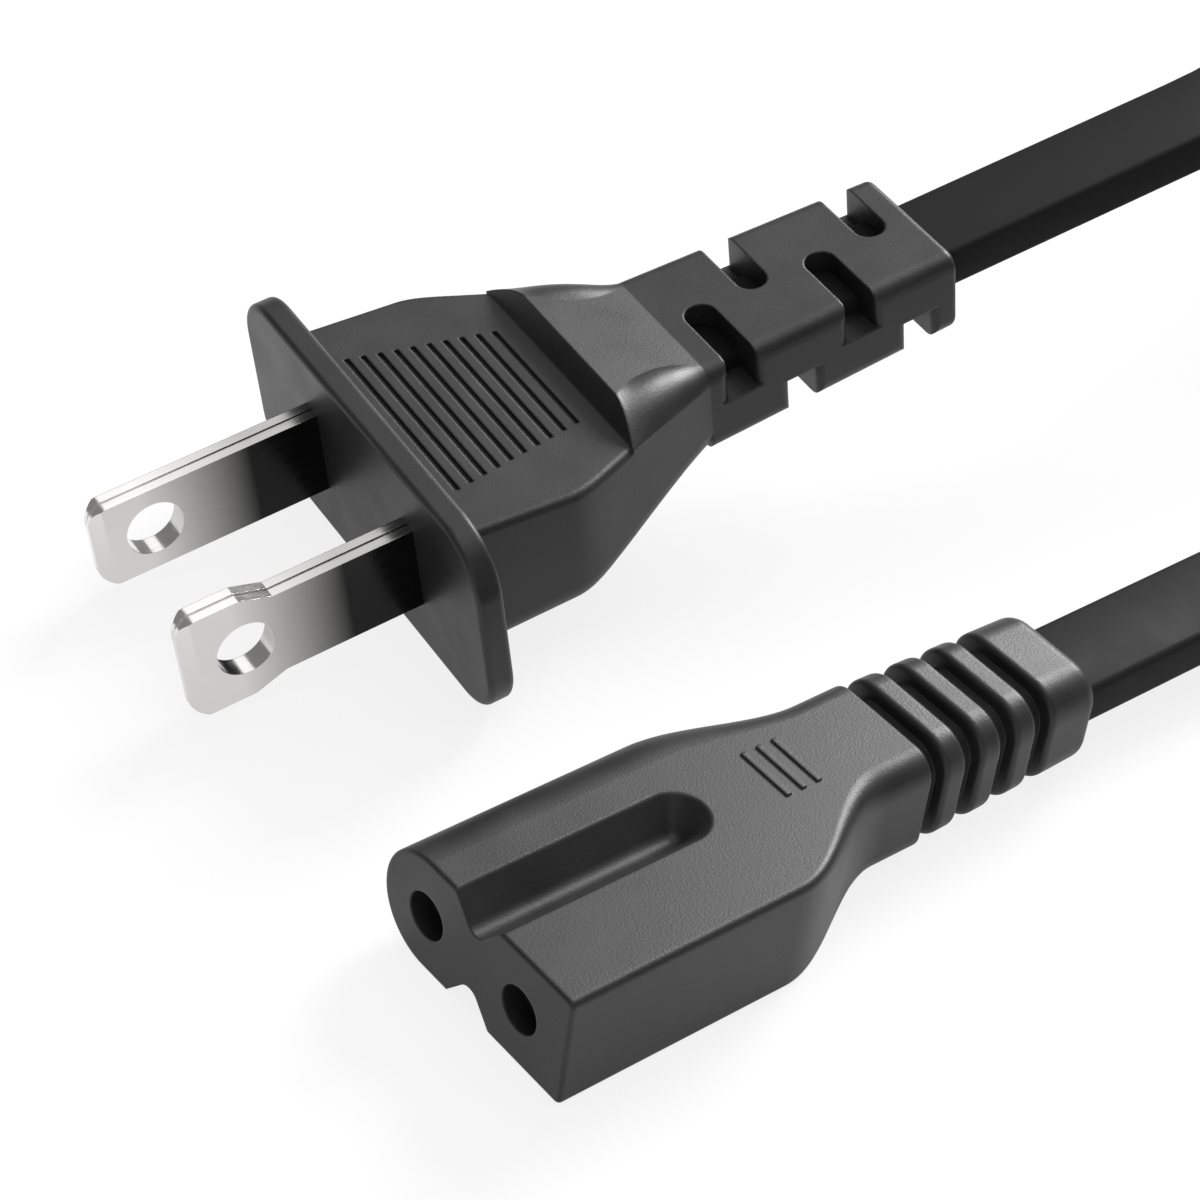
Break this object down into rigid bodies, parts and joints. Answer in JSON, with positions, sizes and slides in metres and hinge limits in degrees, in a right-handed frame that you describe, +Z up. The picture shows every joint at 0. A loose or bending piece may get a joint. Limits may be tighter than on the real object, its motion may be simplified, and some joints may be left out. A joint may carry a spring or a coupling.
{
  "type": "figure eight power connector",
  "caption": "Polarised figure eight line socket on a flat two-core mains lead, with a two-blade wall plug at the far end and the spare cord wound in a tied coil.",
  "frame": {"origin": "under the middle of the connector, on the surface that it lies on", "axes": "-Y out of the connector's mouth, +Y along its cord, +X towards the flat-sided pin, +Z up"},
  "size_m": [0.0827, 0.1809, 0.027],
  "materials": {
    "overmould": "satin, fine grain",
    "jacket": "gloss",
    "carrier": "matte",
    "nickel": "nickel plated",
    "brass": "bright",
    "copper": "stranded wire",
    "core_black": "smooth",
    "core_white": "smooth",
    "tie": "matte"
  },
  "bodies": {
    "root": {"connector_body": "overmould", "connector_insert": "carrier", "contact_line": "brass", "contact_neutral": "brass", "connector_strands_line": "copper", "connector_strands_neutral": "copper", "connector_core_line": "core_black", "connector_core_neutral": "core_white", "plug_body": "overmould", "plug_bridge": "carrier", "blade_line": "nickel", "blade_neutral": "nickel", "plug_strands_line": "copper", "plug_strands_neutral": "copper", "plug_core_line": "core_black", "plug_core_neutral": "core_white", "cord_connector_run": "jacket", "cord_plug_run": "jacket", "cord_coil": "jacket", "coil_tie": "tie"}
  },
  "joints": []
}
